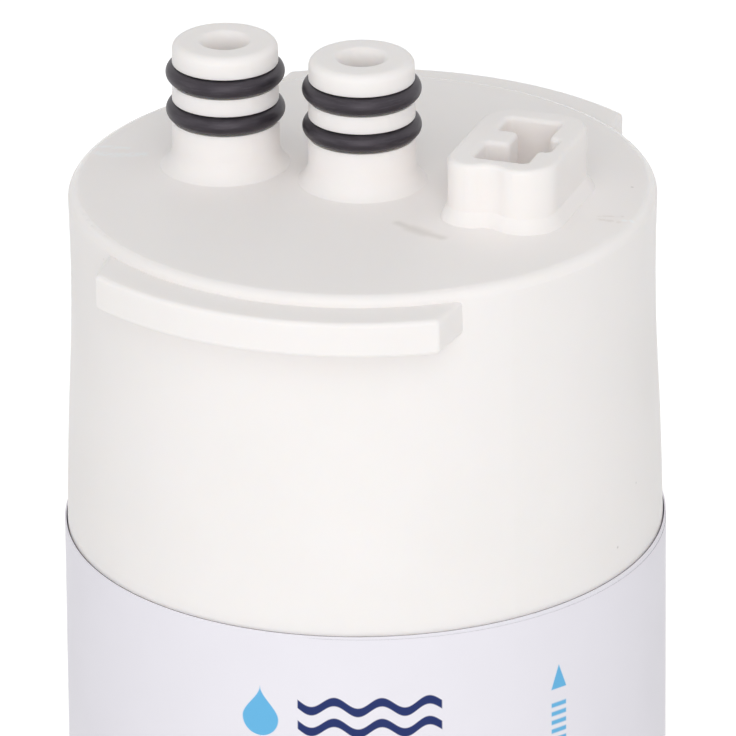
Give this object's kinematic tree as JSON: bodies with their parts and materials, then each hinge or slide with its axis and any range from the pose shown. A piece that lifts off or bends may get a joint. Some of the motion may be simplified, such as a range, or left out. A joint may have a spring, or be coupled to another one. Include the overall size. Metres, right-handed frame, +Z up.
{
  "type": "water filter cartridge",
  "caption": "Tall white twist-lock water filter cartridge: waisted cap with sealed port spigots, a keyed post with a socket and bayonet lugs, on a plain canister with a label film.",
  "frame": {"origin": "middle of the foot, on the surface that the cartridge stands on", "axes": "+Z up along the cartridge's axis, +X from the outlet to the key post, bayonet lugs towards -Y and +Y"},
  "size_m": [0.0964, 0.1062, 0.3295],
  "materials": {
    "white_plastic": "satin moulded polypropylene, off-white",
    "label_film": "glossy film, lilac white",
    "seal_rubber": "matt black rubber",
    "pressed_carbon": "pressed activated carbon, matt black",
    "non_woven_cloth": "non-woven polypropylene cloth, white"
  },
  "bodies": {
    "root": {"cap": "white_plastic", "sump": "white_plastic", "label": "label_film", "upper_end_cap": "white_plastic", "carbon_block": "pressed_carbon", "prefilter_wrap": "non_woven_cloth", "lower_end_cap": "white_plastic", "inlet_o_ring_lower": "seal_rubber", "inlet_o_ring_upper": "seal_rubber", "outlet_o_ring_lower": "seal_rubber", "outlet_o_ring_upper": "seal_rubber", "neck_o_ring_upper": "seal_rubber", "neck_o_ring_lower": "seal_rubber"}
  },
  "joints": []
}
